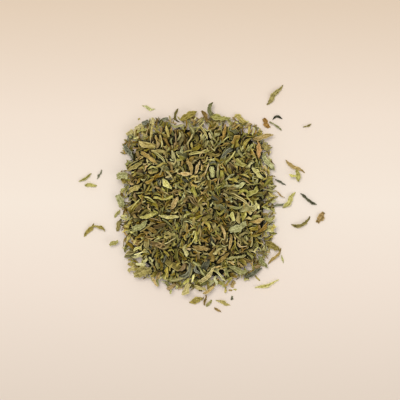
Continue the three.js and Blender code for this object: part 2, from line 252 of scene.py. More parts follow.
def soft_lamp(name, place, size, watts, tone):
    lamp = bpy.data.lights.new(name, "AREA")
    lamp.shape = "DISK"
    lamp.size = size
    lamp.energy = watts
    lamp.color = light_of(tone)[:3]
    holder = bpy.data.objects.new(name, lamp)
    holder.location = place
    holder.rotation_euler = (-Vector(place)).to_track_quat("-Z", "Y").to_euler()
    bpy.context.scene.collection.objects.link(holder)


soft_lamp("softbox", place=(-0.22, 0.28, 1.6), size=0.8, watts=17.5, tone="fffefb")
soft_lamp("fill", place=(0.9, -0.6, 1.3), size=1.2, watts=5, tone="fffefc")
sky = bpy.data.worlds.new("studio")
sky.use_nodes = True
background = sky.node_tree.nodes["Background"]
background.inputs["Color"].default_value = light_of(SKY_COLOUR)
background.inputs["Strength"].default_value = SKY_STRENGTH
bpy.context.scene.world = sky
bpy.context.scene.view_settings.view_transform = "Standard"

# %% [markdown]
# ## Leaf finishes
# Basil dries unevenly. Most of it goes olive, some keeps a yellower green, and bruised leaf goes tan,
# bronze or almost slate. One function makes them all: a cloudy ground of three close tones, darker
# blotches where the leaf was bruised, a pale rib with side veins that follow the leaf's own UV map, and a
# pale rim, a painted highlight where the curled edges catch the light. Every flake also carries three
# numbers of its own. Its tone makes it brighter or darker, its age browns it, and its vividness makes its
# colour stronger, so that no two lying side by side are quite alike. The tone also carries the shade that
# is painted into the heap's hollows, and darker tones are painted richer in colour, as leaf in shade looks.


# %% A dried leaf's finish
VEIN_SLANT = 0.3
VEIN_RIPPLES = 44.0
MOST_BROWNED = 0.45
VEIN_RELIEF = 0.8


def leaf_finish(name, dark, middle, pale, vein, scorch):
    finish, tree, shader = new_finish(name, roughness=0.72)
    place = node(tree, "TexCoord").outputs["Object"]
    cloud = node(tree, "TexNoise", Vector=place, Scale=600.0, Detail=5.0, Roughness=0.65).outputs[0]
    ground = ramp(tree, cloud, (0.36, dark), (0.5, middle), (0.64, pale))

    blotch = node(tree, "TexNoise", Vector=place, Scale=900.0, Detail=3.0).outputs[0]
    blotch = node(tree, "MapRange", Value=blotch, From_Min=0.56, From_Max=0.7, To_Max=0.75).outputs[0]
    ground = blend(tree, "MIX", blotch, ground, light_of(scorch))

    leaf_uv = node(tree, "UVMap", {"uv_map": "UVMap"}).outputs[0]
    sides = node(tree, "SeparateXYZ", Vector=leaf_uv)
    off_rib = count(tree, "ABSOLUTE", count(tree, "SUBTRACT", sides.outputs["X"], 0.5))
    rib = node(tree, "MapRange", Value=off_rib, From_Min=0.03, From_Max=0.09, To_Min=0.7, To_Max=0.0)
    slant = count(tree, "SUBTRACT", sides.outputs["Y"], count(tree, "MULTIPLY", off_rib, VEIN_SLANT))
    ripple = count(tree, "SINE", count(tree, "MULTIPLY", slant, VEIN_RIPPLES))
    side_vein = node(tree, "MapRange", Value=ripple, From_Min=0.8, From_Max=1.0, To_Max=0.4).outputs[0]
    veins = count(tree, "MAXIMUM", rib.outputs[0], side_vein)
    ground = blend(tree, "MIX", veins, ground, light_of(vein))

    # Painted highlight: the rim is paled towards the vein colour, as where curled edges catch the light.
    rim_highlight = node(tree, "MapRange", Value=off_rib, From_Min=0.38, From_Max=0.5, To_Max=0.8).outputs[0]
    ground = blend(tree, "MIX", rim_highlight, ground, light_of(vein))

    age = node(tree, "Attribute", {"attribute_name": "age"}).outputs["Fac"]
    ground = blend(tree, "MIX", count(tree, "MULTIPLY", age, MOST_BROWNED), ground, light_of(scorch))
    # The tone holds each flake's own brightness and the shade painted into the hollows. Darker tones,
    # painted shade among them, are made richer in colour, as leaf in shade looks.
    tone = node(tree, "Attribute", {"attribute_name": "tone"}).outputs["Fac"]
    strength = node(tree, "MapRange", Value=tone, To_Min=0.05, To_Max=2.75).outputs[0]
    vivid = node(tree, "Attribute", {"attribute_name": "vivid"}).outputs["Fac"]
    richness = node(tree, "MapRange", Value=vivid, To_Min=0.88, To_Max=1.18).outputs[0]
    depth = node(tree, "MapRange", Value=tone, From_Max=0.9, To_Min=1.15, To_Max=0.83).outputs[0]
    richness = count(tree, "MULTIPLY", richness, depth)
    shaded = node(tree, "HueSaturation", Hue=0.504, Saturation=richness, Value=strength, Color=ground)
    tree.links.new(shaded.outputs["Color"], shader.inputs["Base Color"])

    grain = node(tree, "TexNoise", Vector=place, Scale=2600.0, Detail=4.0).outputs[0]
    relief = count(tree, "ADD", count(tree, "MULTIPLY", veins, VEIN_RELIEF), grain)
    bump = node(tree, "Bump", Strength=0.5, Distance=0.12 * MM, Height=relief)
    tree.links.new(bump.outputs["Normal"], shader.inputs["Normal"])
    return finish


FINISHES = {
    "olive": leaf_finish("olive leaf", "5c5024", "86783e", "a29452", "b8a96a", "665028"),
    "lime": leaf_finish("yellow-green leaf", "6e6832", "948e4e", "b2aa6a", "c4bc80", "7a6834"),
    "tan": leaf_finish("tan leaf", "72592d", "8d743d", "a78f56", "bda76e", "644a24"),
    "sage": leaf_finish("grey-green leaf", "646238", "868350", "a4a16e", "bab786", "68603a"),
    "slate": leaf_finish("slate leaf", "302f23", "4e4d3c", "6c6b56", "84836a", "38301e"),
    "bronze": leaf_finish("bronze leaf", "544020", "785e2e", "98784a", "ae9256", "402e18"),
    "rust": leaf_finish("rusty leaf", "664216", "825b21", "9a712e", "ac873e", "56360e"),
}
print("finishes", list(FINISHES))

# %% [markdown]
# ## A flat leaf
# A basil leaf is a pointed oval with a rib down its middle. It starts as a flat grid that stands on its
# stalk end: X runs across, Z along the rib, and the upper side faces +Y. Each row is drawn in to the
# leaf's outline, and the two halves are folded up from the rib. Standing it up matters, because the bend
# modifier curls what runs along Z. Only about half of a kind's fold is a crease at the rib, and the rest
# is a round cup across the leaf, which comes with the drying. The angles of each kind are in degrees.

# %% How leaves dry
KINDS = {
    "blade": {"fold": 34, "curl": 38, "sweep": 14, "twist": 24, "widest": 0.42, "torn": 0},
    "boat": {"fold": 56, "curl": -34, "sweep": 18, "twist": -14, "widest": 0.5, "torn": 0},
    "hook": {"fold": 44, "curl": 26, "sweep": 112, "twist": 20, "widest": 0.38, "torn": 0},
    "scrap": {"fold": 18, "curl": 34, "sweep": -16, "twist": 10, "widest": 0.5, "torn": 0.55},
    "quill": {"fold": 64, "curl": 22, "sweep": -26, "twist": 30, "widest": 0.45, "torn": 0.3},
    "screw": {"fold": 30, "curl": 30, "sweep": 24, "twist": 96, "widest": 0.5, "torn": 0},
    "arch": {"fold": 26, "curl": 84, "sweep": -12, "twist": -18, "widest": 0.46, "torn": 0.2},
}
TIP_WIDTH = 0.06
CREASE = 0.55
CUP = 1.8
CROOK = 0.035
FRAY = 0.05
ROUNDNESS = 0.85


def outline(t, kind):
    """Half the leaf's width at t, from stalk to tip, as a share of its greatest half width."""
    if t < kind["widest"]:
        bent = 0.5 * t / kind["widest"]
    else:
        bent = 0.5 + 0.5 * (t - kind["widest"]) / (1 - kind["widest"])
    oval = max(0.0, sin(pi * bent)) ** ROUNDNESS
    return max(TIP_WIDTH, kind["torn"] + (1 - kind["torn"]) * oval)


def only(piece):
    bpy.ops.object.select_all(action="DESELECT")
    piece.select_set(True)
    bpy.context.view_layer.objects.active = piece


def pick(piece, test):
    """In edit mode, selects the points for which test is true."""
    mesh = bmesh.from_edit_mesh(piece.data)
    for face in mesh.faces:
        face.select = False
    for edge in mesh.edges:
        edge.select = False
    for point in mesh.verts:
        point.select = test(point.co)
    mesh.select_flush(True)
    bmesh.update_edit_mesh(piece.data)


# %% [markdown]
# ## Worn sides and a crooked rib
# Rubbed leaf has no clean outline left. Two waves along each side, one slow and one quick, stand for the
# bites that rubbing takes out of it, and another slow wave makes the rib crooked. Each leaf's seed shifts
# its waves.


# %% How much of a side is left, and how far the rib strays
BROAD_BITES = 1.3
BROAD_BITE = 0.14
SMALL_BITES = 3.4
SMALL_BITE = 0.09
CROOKS = 1.15


def worn(seed, side, t):
    """How much of this side of the leaf is left at t, as a share of its width."""
    broad = 1 + sin(2 * pi * (BROAD_BITES * t + draw(seed, 41 + side)))
    small = 1 + sin(2 * pi * (SMALL_BITES * t + draw(seed, 44 + side)))
    return 1 - BROAD_BITE * broad - SMALL_BITE * small


def crooked(seed, salt, t):
    """How far the rib stands off its straight line at t. It is 0 at the stalk."""
    return sin(2 * pi * (CROOKS * t + draw(seed, salt))) - sin(2 * pi * draw(seed, salt))


# %% [markdown]
# ## Cutting it out
# The grid is stretched to the leaf's size. Each row of points is then drawn in from both sides, the
# halves are turned up about the rib, and the rows are pushed off the straight line. In the end every
# point is shaken a little with a fixed seed, which leaves the leaf crumpled.


# %% From a grid to a worn, folded leaf
CROOK_UP = 0.6
ON_RIB = 0.001 * MM


def flat_leaf(name, kind, length, width, columns, rows, wear, seed):
    bpy.ops.object.select_all(action="DESELECT")
    upright = (radians(90), 0, 0)
    bpy.ops.mesh.primitive_grid_add(x_subdivisions=columns, y_subdivisions=rows, size=1, rotation=upright)
    leaf = bpy.context.object
    leaf.name = name
    bpy.ops.object.transform_apply(location=False, rotation=True, scale=False)
    bpy.ops.object.mode_set(mode="EDIT")
    bpy.context.tool_settings.mesh_select_mode = (True, False, False)
    bpy.ops.mesh.select_all(action="SELECT")
    bpy.ops.transform.resize(value=(width, 1, length), center_override=(0, 0, 0))
    step = length / rows
    for row in range(rows + 1):
        level = -length / 2 + row * step
        for side in (-1, 1):
            pick(leaf, lambda co: abs(co.z - level) < step / 4 and side * co.x > 0)
            half = outline(row / rows, kind) * (1 - wear * (1 - worn(seed, side, row / rows)))
            bpy.ops.transform.resize(value=(half, 1, 1), center_override=(0, 0, level))
    for side in (-1, 1):
        pick(leaf, lambda co: side * co.x > ON_RIB)
        bpy.ops.transform.rotate(
            value=-side * CREASE * radians(kind["fold"]), orient_axis="Z", orient_type="GLOBAL",
            center_override=(0, 0, 0),
        )
    for row in range(rows + 1):
        level = -length / 2 + row * step
        pick(leaf, lambda co: abs(co.z - level) < step / 4)
        bend = wear * CROOK * length
        across, up = crooked(seed, 47, row / rows), crooked(seed, 48, row / rows)
        bpy.ops.transform.translate(value=(bend * across, CROOK_UP * bend * up, 0))
    bpy.ops.mesh.select_all(action="SELECT")
    bpy.ops.transform.vertex_random(offset=wear * FRAY * width, uniform=1, normal=0, seed=seed)
    bpy.ops.object.mode_set(mode="OBJECT")
    return leaf


# %% [markdown]
# ## Drying it
# Drying cups a leaf, twists it about its rib, curls its ends and bends it sideways. Those are four simple
# deform modifiers, one after the other. A solidify modifier then gives the leaf the thickness of paper,
# so that it is a closed body, and all of them are applied.


# %% Twist, curl, bend and thicken
def dry(leaf, kind, thickness):
    only(leaf)
    steps = [
        ("BEND", "Z", CUP * kind["fold"]),
        ("TWIST", "Z", kind["twist"]),
        ("BEND", "X", -kind["curl"]),
        ("BEND", "Y", kind["sweep"]),
    ]
    for method, axis, angle in steps:
        deform = leaf.modifiers.new("dry", "SIMPLE_DEFORM")
        deform.deform_method = method
        deform.deform_axis = axis
        deform.angle = radians(angle)
        bpy.ops.object.modifier_apply(modifier=deform.name)
    wall = leaf.modifiers.new("wall", "SOLIDIFY")
    wall.thickness = thickness
    wall.offset = 0
    bpy.ops.object.modifier_apply(modifier=wall.name)
    bpy.ops.object.mode_set(mode="EDIT")
    bpy.ops.mesh.select_all(action="SELECT")
    bpy.ops.mesh.normals_make_consistent(inside=False)
    bpy.ops.object.mode_set(mode="OBJECT")
    return leaf


# %% [markdown]
# ## Laying it down
# A finished leaf still stands upright. One fixed matrix lays it down, so that its rib runs along X and
# its upper side faces up. It can then be tipped, turned to its heading and leaned onto the slope like
# anything else.

# %% Turns, points and numbers
LIE_DOWN = Matrix(((0, 0, 1, 0), (1, 0, 0, 0), (0, 1, 0, 0), (0, 0, 0, 1)))
UP = Vector((0, 0, 1))


def laid(place, up, heading, pitch=0.0, roll=0.0):
    """Where a standing leaf goes when it lies at place, turned to its heading and tipped."""
    turn = UP.rotation_difference(up)
    for axis, angle in (((0, 0, 1), heading), ((0, 1, 0), pitch), ((1, 0, 0), roll)):
        turn = turn @ Quaternion(axis, radians(angle))
    return Matrix.Translation(place) @ turn.to_matrix().to_4x4() @ LIE_DOWN


def points_of(piece):
    flat = np.empty(len(piece.data.vertices) * 3)
    piece.data.vertices.foreach_get("co", flat)
    return flat.reshape(-1, 3)


def give_numbers(mesh, numbers):
    """Stores each point's tone, with any painted shade in it, age and vividness, which the finishes read."""
    for column, name in enumerate(("tone", "age", "vivid")):
        layer = mesh.attributes.new(name, "FLOAT", "POINT")
        layer.data.foreach_set("value", np.ascontiguousarray(numbers[:, column], dtype=np.float32))


# %% [markdown]
# ## The loose leaves
# These leaves can be told apart, on the heap and round it. Each stands for the node of its name, so it
# has the same kind, heading, length and width as the solid.

# %% Their kinds, headings, lengths and widths in millimetres, and tones
LOOSE_LEAVES = {
    "leaf_broad_sage": ("blade", 31, 14, 6.2, 0.45),
    "leaf_long_lime": ("blade", 12, 13, 4.4, 0.55),
    "leaf_mid_lime": ("boat", -4, 12.5, 4.6, 0.7),
    "leaf_tan_level": ("blade", 177, 10.4, 4.2, 0.95),
    "leaf_tan_upright": ("blade", 108, 10.4, 4.2, 0.45),
    "leaf_tan_leaning": ("boat", 70, 10, 4, 1),
    "leaf_mid_olive": ("blade", 58, 10, 5.4, 0.55),
    "leaf_east_lime": ("blade", -38, 12, 4.4, 0.64),
    "leaf_edge_sage": ("blade", -53, 14, 5.4, 0.55),
    "leaf_rust": ("blade", 90, 11.5, 4.4, 0.75),
    "leaf_east_round": ("scrap", -40, 5.4, 4.8, 0.45),
    "leaf_corner_tip": ("blade", 15, 13.5, 5, 0.5),
    "leaf_top_crescent": ("hook", -80, 14, 4.4, 0.25),
    "leaf_top_pointed": ("blade", -4, 12.8, 5.6, 0.4),
    "leaf_top_fan": ("blade", 30, 12, 7.4, 0.45),
    "leaf_top_hook": ("hook", -84, 11, 3.4, 0.2),
    "leaf_top_bronze": ("scrap", -62, 9, 3.6, 0.3),
    "leaf_north_east": ("scrap", -38, 8.4, 4.4, 0.6),
    "leaf_ragged_sage": ("scrap", 25, 11, 5.2, 0.55),
    "leaf_south_olive": ("blade", 47, 15.5, 5, 0.7),
    "leaf_pale_south": ("blade", -18, 16, 5.4, 0.45),
    "leaf_dark_south": ("blade", 28, 13, 5, 0.4),
    "leaf_low_sage": ("blade", -52, 9.6, 4.6, 0.35),
    "leaf_corner_olive": ("blade", -32, 10.5, 6.4, 0.4),
    "leaf_round_green": ("scrap", 14, 11.5, 7.8, 0.4),
    "leaf_round_west": ("scrap", 5, 7, 6.2, 0.6),
    "leaf_west_lobe": ("scrap", -66, 8, 5.4, 0.55),
    "leaf_west_bit": ("blade", 55, 6.4, 3.2, 0.55),
    "leaf_west_low": ("blade", 72, 9, 5.2, 0.45),
    "leaf_pointed_tan": ("blade", -36, 15, 4.8, 0.5),
    "leaf_dark_curl": ("boat", -58, 11.5, 6, 0.95),
    "stray_far_blade": ("blade", 51, 16.8, 4.6, 0.45),
    "stray_pale_sprig": ("screw", -18, 9.7, 3, 0.85),
    "stray_rust_chip": ("scrap", -60, 6.4, 4, 0.65),
    "stray_green_bit": ("quill", -34, 9, 3, 0.35),
    "stray_dark_bit": ("hook", 186, 7.4, 2.6, 0.2),
    "stray_east_bit": ("boat", 20, 5.6, 2.8, 0.45),
    "stray_tan_strip": ("blade", -32, 16, 3.8, 0.55),
    "stray_lobed_green": ("arch", -80, 7.8, 4, 0.45),
    "stray_thin_green": ("screw", -28, 9, 2.6, 0.5),
    "stray_east_leaf": ("blade", 53, 14, 5.4, 0.6),
    "stray_slate_leaf": ("boat", -37, 12.4, 5.6, 0.45),
    "stray_brown_chip": ("scrap", 60, 7.4, 4.8, 0.7),
    "stray_crescent": ("hook", 24, 15.5, 5, 0.35),
    "stray_south_east": ("blade", 50, 14, 3.6, 0.5),
    "stray_pale_curl": ("boat", 18, 15.5, 3.6, 0.7),
    "stray_south_leaf": ("blade", 20, 9.8, 5.4, 0.55),
    "stray_south_brown": ("quill", 80, 6.4, 3, 0.45),
    "stray_south_green": ("arch", 50, 5.6, 2.6, 0.45),
    "stray_south_olive": ("screw", -20, 9.8, 3.6, 0.65),
    "stray_lowest": ("blade", -33, 5.6, 2.4, 0.5),
    "stray_south_chip": ("scrap", 70, 4.2, 3.2, 0.65),
    "stray_west_green": ("boat", 33, 9.6, 3.8, 0.45),
    "stray_west_fork": ("blade", -3, 8.8, 4.2, 0.5),
    "stray_west_twig": ("screw", 64, 7.6, 2, 0.7),
    "stray_fork_left": ("blade", 52, 10.6, 4, 0.6),
    "stray_fork_right": ("hook", 166, 10.4, 3, 0.45),
    "stray_west_square": ("scrap", 25, 5.6, 3.2, 0.45),
    "stray_south_west": ("boat", -62, 6.8, 3.4, 0.7),
}
print("loose leaves", len(LOOSE_LEAVES), "of", len(frame["nodes"]) - 1)

# %% [markdown]
# ## A large leaf
# A leaf that is seen on its own needs more points than a crumb. A quilt of shallow ripples between the
# side veins gives it its crinkled skin. The leaf is then dried and turned to lie on the slope.


# %% Quilt, dry and turn a large leaf
LEAF_COLUMNS = 8
LEAF_ROWS = 22
LEAF_WALL = 0.28 * MM
QUILT = 0.16 * MM
VEIN_STEP = 1.5 * MM
VEIN_LEAN = 0.6
BROAD_QUILT = 1.6
BROAD_PHASE = 0.37


def quilt(leaf, seed):
    """Raises shallow ripples between the side veins of a flat leaf."""
    for point in leaf.data.vertices:
        off_rib = abs(point.co.x) + abs(point.co.y)
        phase = (point.co.z - VEIN_LEAN * off_rib) / VEIN_STEP * 2 * pi
        point.co.y += QUILT * cos(phase + seed) + BROAD_QUILT * QUILT * sin(phase * BROAD_PHASE + 3 * seed)


def large_leaf(name, number, kind_name, heading, length, width, x, y):
    """A dried leaf that lies on the slope at (x, y), turned to its heading, but still at the origin."""
    kind = KINDS[kind_name]
    leaf = flat_leaf(name + "_dried", kind, length * MM, width * MM, LEAF_COLUMNS, LEAF_ROWS, 1, number)
    quilt(leaf, number)
    dry(leaf, kind, LEAF_WALL)
    leaf.data.transform(laid(Vector((0, 0, 0)), facing(x, y), heading))
    return leaf


# %% [markdown]
# ## Bringing each one over its node
# The node's box says where the leaf goes. The leaf is made smaller where it doesn't fit the box, moved to
# the middle of it, and set down on the table, or kept within the box's height where the node lies on the
# heap. Two of the leaves are rusty: they have a finish of their own.

# %% The loose leaves at their places
RUSTY = {"leaf_rust": "rust", "stray_rust_chip": "rust"}
SNUG = 1.02

loose = []
for number, (name, (kind_name, heading, length, width, tone)) in enumerate(LOOSE_LEAVES.items(), start=1):
    low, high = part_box(name)
    middle = (low + high) / 2
    leaf = large_leaf(name, number, kind_name, heading, length, width, middle.x, middle.y)
    shape = points_of(leaf)
    span = shape.max(0) - shape.min(0)
    fit = min(1.0, *(np.array(high - low) / span * SNUG))
    leaf.data.transform(Matrix.Scale(fit, 4))
    shape = shape * fit
    lift = middle - Vector((shape.max(0) + shape.min(0)) / 2)
    lift.z = min(low.z - shape[:, 2].min(), high.z - shape[:, 2].max()) if low.z > MM else -shape[:, 2].min()
    leaf.data.transform(Matrix.Translation(lift))
    loose.append((leaf, number, tone, RUSTY.get(name, slot_of[name]), name))
print("made", len(loose), "loose leaves, fit of the last", round(float(fit), 2))

# %% [markdown]
# ## A few more on top of the heap
# Some leaves that show well on top have no node of their own, because the solid counts them as part of
# the heap. They are made the same way and laid on the slope at their places.

# %% Leaves that belong to the heap: kind, colour, middle, heading, length, width and tone
HEAP_LEAVES = [
    ("blade", "olive", -37.2, 8, 32, 12.5, 4.2, 0.7),
    ("blade", "lime", -17.6, 11.2, -48, 8.4, 4.4, 0.85),
    ("scrap", "sage", 8.8, 18.4, 95, 6.8, 3.8, 0.65),
    ("blade", "olive", -36.8, 22.2, 30, 13, 4.4, 0.6),
    ("boat", "lime", 23.2, -32.2, 8, 12, 4.4, 0.45),
    ("arch", "tan", 15.2, -33.2, 42, 10.5, 3.8, 0.4),
    ("blade", "tan", 2.8, -26.8, -10, 11, 4.4, 0.55),
    ("boat", "tan", 19.9, -22.9, 84, 9.6, 4.2, 0.6),
    ("hook", "lime", -26.1, 21.3, 180, 7, 2.2, 0.65),
    ("hook", "olive", -26.1, 17.7, 0, 7, 2.2, 0.65),
]
LEAF_LIFT = 0.8 * MM
FIRST_HEAP_LEAF = 100

for number, row in enumerate(HEAP_LEAVES, start=FIRST_HEAP_LEAF):
    kind_name, tint, x, y, heading, length, width, tone = row
    leaf = large_leaf(f"heap_leaf_{number}", number, kind_name, heading, length, width, x * MM, y * MM)
    leaf.data.transform(Matrix.Translation((x * MM, y * MM, heap_height(x * MM, y * MM) + LEAF_LIFT)))
    loose.append((leaf, number, tone, tint, "heap"))
print("large leaves in all", len(loose))

# %% [markdown]
# ## Masters for the small flakes
# The heap shows thousands of flakes, so each may have only a few dozen faces. Five masters of each kind
# are modelled with the same two steps as the loose leaves, all one unit long, and every flake is a scaled
# copy.

# %% Flake masters
MASTER_LENGTH = 10 * MM
MASTER_SHARE = 0.4
MASTER_COLUMNS = 4
MASTER_ROWS = 5
MASTER_WALL = 0.34 * MM
MASTER_WEAR = 1.3
VARIANTS = 5


def spots_of(mesh):
    """Weights that turn the mesh's points into nine spots spread over each of its faces."""
    weights = []
    for face in mesh.polygons:
        for across in (1 / 6, 1 / 2, 5 / 6):
            for along in (1 / 6, 1 / 2, 5 / 6):
                row = np.zeros(len(mesh.vertices))
                back, down = 1 - across, 1 - along
                shares = (back * down, across * down, across * along, back * along)
                for corner, share in zip(face.vertices, shares):
                    row[corner] += share
                weights.append(row)
    return np.array(weights)


def master(name, kind, seed):
    """A small dried leaf as plain arrays: points lying down, faces, and a UV for each face corner."""
    width = MASTER_LENGTH * MASTER_SHARE
    leaf = flat_leaf(name, kind, MASTER_LENGTH, width, MASTER_COLUMNS, MASTER_ROWS, MASTER_WEAR, seed)
    dry(leaf, kind, MASTER_WALL)
    leaf.data.transform(LIE_DOWN)
    mesh = leaf.data
    uv = np.empty(len(mesh.loops) * 2)
    mesh.uv_layers[0].data.foreach_get("uv", uv)
    made = {
        "points": points_of(leaf) / MASTER_LENGTH,
        "faces": [tuple(face.vertices) for face in mesh.polygons],
        "uv": uv.reshape(-1, 2),
        "spots": spots_of(mesh),
    }
    bpy.data.objects.remove(leaf)
    return made


masters = {
    kind_name: [master("flake", kind, 100 * row + variant) for variant in range(VARIANTS)]
    for row, (kind_name, kind) in enumerate(KINDS.items())
}
print("faces of a flake", len(masters["blade"][0]["faces"]))

# %% [markdown]
# ## Laying the heap
# A heap is poured: each flake falls until it meets what lies below. A height map does the same. For each
# flake the map is read under all its points, the flake is set down where the first of them touches, and
# the map is raised to its top. A second map, the ceiling, says how high a flake may reach. It is the
# underside of each large leaf, so that no flake stands in one.

# %% The height map
CELL = 0.5 * MM
MAP_X = 82 * MM
MAP_Y = 76 * MM
CORE_DEPTH = 3.6 * MM
CORE_REACH = 0.86
CLEARANCE = 0.15 * MM
OPEN = 1.0

columns = int(2 * MAP_X / CELL)
rows = int(2 * MAP_Y / CELL)
ground = np.zeros((columns, rows))
ceiling = np.full((columns, rows), OPEN)


def cells(points):
    """The map's cells under these points."""
    i = np.clip(((points[:, 0] + MAP_X) / CELL).astype(int), 0, columns - 1)
    j = np.clip(((points[:, 1] + MAP_Y) / CELL).astype(int), 0, rows - 1)
    return i, j


def core_height(x, y):
    if reach(x, y) > CORE_REACH:
        return 0.0
    return max(0.0, heap_height(x, y) - CORE_DEPTH)


for i in range(columns):
    for j in range(rows):
        ground[i, j] = core_height((i + 0.5) * CELL - MAP_X, (j + 0.5) * CELL - MAP_Y)

for leaf, *_ in loose:
    shape = points_of(leaf)
    for nudge in ((0, 0), (CELL, 0), (-CELL, 0), (0, CELL), (0, -CELL)):
        at = cells(shape[:, :2] + np.array(nudge))
        np.minimum.at(ceiling, at, shape[:, 2] - CLEARANCE)
print("map", ground.shape, "top", round(ground.max() / MM, 1), "mm")

# %% [markdown]
# ## Gaps near the foot
# A heap thins out towards its foot, and the table shows through in places. Each gap is a small round hole
# in the ceiling: nothing may stand over it, so the flakes near it keep clear.

# %% Gaps: middle and radius in millimetres
PORE_STEP = 0.25
PORES = [
    (-5.5, 43.4, 0.8), (29, 43.8, 0.7), (5.4, 46.2, 0.6), (-35, -33.8, 1), (-29.7, -36.6, 1),
    (8.9, -42.5, 1.5), (31, -38.4, 1.4), (-42.6, 1.8, 0.8), (40.6, -4.7, 0.7), (17.4, 48, 0.6),
    (-41, 28, 1), (15, -41, 0.8), (42.6, 38.7, 2), (45.6, 28.2, 1.8), (-45, 26.4, 2.4),
    (-44.4, 21.6, 1.4), (25.8, -47.4, 1.8), (-46.2, -20.4, 2.4), (-46.2, 10.2, 1.6), (-29.4, -46.8, 2),
    (-20.7, -50.1, 1.6), (33, 50.4, 2), (45.3, 18.3, 1.4), (12.6, -51.6, 1.8),
]
for x, y, size in PORES:
    span = np.arange(-size, size, PORE_STEP)
    spots = np.array([(x + a, y + b, 0) for a in span for b in span if a * a + b * b < size * size]) * MM
    ceiling[cells(spots)] = 0
print("gaps", len(PORES))

# %% [markdown]
# ## The solid's own flakes
# The solid's flakes were placed by a rule with repeatable draws, over the top and slopes, round the foot
# and under the core. The same rule with the same numbers finds each of them again. They come before the
# small ones, as the frame that the rest falls on.

# %% The numbers of the solid's flakes
FLAKES = 165
FOOT_FLAKES = 60
UNDER_FLAKES = 24
FLAKE_LENGTH = 11 * MM
FLAKE_SHARE = 0.4
FIRST_FOOT_FLAKE = 1000
FIRST_UNDER_FLAKE = 2000
FLAKE_KINDS = ["blade", "boat", "arch", "quill", "screw", "scrap", "hook", "blade"]
SIZE_SPREAD = (0.75, 1.25)
TOP_LIFT = (-0.7 * MM, 0.2 * MM)
TOP_PITCH = (16, 36)
TOP_ROLL = (-30, 30)
FOOT_SHARE = (0.88, 0.98)
FOOT_LIFT = (1.4 * MM, 3.2 * MM)
FOOT_PITCH = (4, 18)
FOOT_TURN = (-60, 60)
FOOT_JITTER = 0.6
UNDER_SHARE = (0.25, 0.85)
UNDER_LIFT = (0.7 * MM, 1.1 * MM)
ALL_ROUND = (0, 360)
TINT_SHARES = {"olive": 15, "lime": 11, "tan": 7, "sage": 3, "bronze": 4, "slate": 1}
TINTS = [tint for tint, share in TINT_SHARES.items() for _ in range(share)]
SCATTER = (0.7548776662, 0.569840291)
print("flakes of the solid at most", FLAKES + FOOT_FLAKES + UNDER_FLAKES)

# %% [markdown]
# ## From master to flake
# A flake is a master stretched to its length and width and turned to lie on its slope. It goes on its
# colour's list, and the map is raised to its top. A slow noise over the plan sets how bright the flakes can
# be: broad patches of painted light and shade, which stand in for the shade of a lumpier heap.

# %% Stretch, turn and keep a flake
PLAINEST = 0.42
PATCH = 9 * MM
PATCH_TONE = 0.78
PATCH_SPREAD = 0.55
FINE_SPREAD = 0.3
FINER = 2.3
laid_flakes = {tint: [] for tint in TINT_SHARES}


def painted_patch_shade(x, y):
    """How bright the leaf is in this part of the heap: painted light and shade in broad patches."""
    spot = Vector((x / PATCH, y / PATCH, 0))
    return PATCH_TONE + PATCH_SPREAD * noise.noise(spot) + FINE_SPREAD * noise.noise(FINER * spot)


def stretched(kind_name, variant, length, width):
    """A master's points at the size of this flake."""
    size = np.array([length, width / MASTER_SHARE, (length + width / MASTER_SHARE) / 2])
    return masters[kind_name][variant]["points"] * size


def turned(points, up, heading, pitch, roll):
    turn = np.array((laid(Vector((0, 0, 0)), up, heading, pitch, roll) @ LIE_DOWN.inverted()).to_3x3())
    return points @ turn.T


def keep(kind_name, variant, points, tint, own):
    """Adds a flake to its colour's list, and raises the map to its top."""
    laid_flakes[tint].append((kind_name, variant, points, own))
    spots = masters[kind_name][variant]["spots"] @ points
    np.maximum.at(ground, cells(spots), spots[:, 2])


# %% [markdown]
# ## Laying the solid's flakes
# Each flake is kept above the table, inside the solid's box and below the ceiling. One that would then go
# through the table stands in a large leaf or in a gap, so it is left out. The flakes under the core are
# hidden, so they don't raise the map.


# %% Over the top, round the foot and under the core
def scattered(n):
    """The nth place of an even scatter over the heap's plan."""
    return (
        HALF_WIDTH * (2 * (n * SCATTER[0] % 1) - 1),
        HALF_DEPTH * (2 * (n * SCATTER[1] % 1) - 1),
    )


def form_flake(n, place, up, heading, pitch=0.0, roll=0.0):
    kind_name = FLAKE_KINDS[n % len(FLAKE_KINDS)]
    length = FLAKE_LENGTH * draw_from(SIZE_SPREAD, n, 1)
    width = length * FLAKE_SHARE * draw_from(SIZE_SPREAD, n, 2)
    variant = n % VARIANTS
    points = turned(stretched(kind_name, variant, length, width), up, heading, pitch, roll) + np.array(place)
    points[:, 2] -= min(0.0, points[:, 2].min())
    points[:, 2] -= max(0.0, points[:, 2].max() - cad_box[1][2])
    spots = masters[kind_name][variant]["spots"] @ points
    points[:, 2] -= max(0.0, (spots[:, 2] - ceiling[cells(spots)]).max())
    if points[:, 2].min() < 0:
        return
    tone = painted_patch_shade(place[0], place[1]) * (PLAINEST + (1 - PLAINEST) * draw(n, 22))
    own = (tone, draw(n, 23) ** 2, draw(n, 24))
    keep(kind_name, variant, points, TINTS[int(len(TINTS) * draw(n, 21))], own)


def top_flakes():
    n, made = 1, 0
    while made < FLAKES:
        x, y = scattered(n)
        if reach(x, y) <= FOOT:
            place = (x, y, heap_height(x, y) + draw_from(TOP_LIFT, n, 6))
            pitch, roll = draw_from(TOP_PITCH, n, 4), draw_from(TOP_ROLL, n, 5)
            form_flake(n, place, facing(x, y), draw_from(ALL_ROUND, n, 3), pitch, roll)
            made += 1
        n += 1


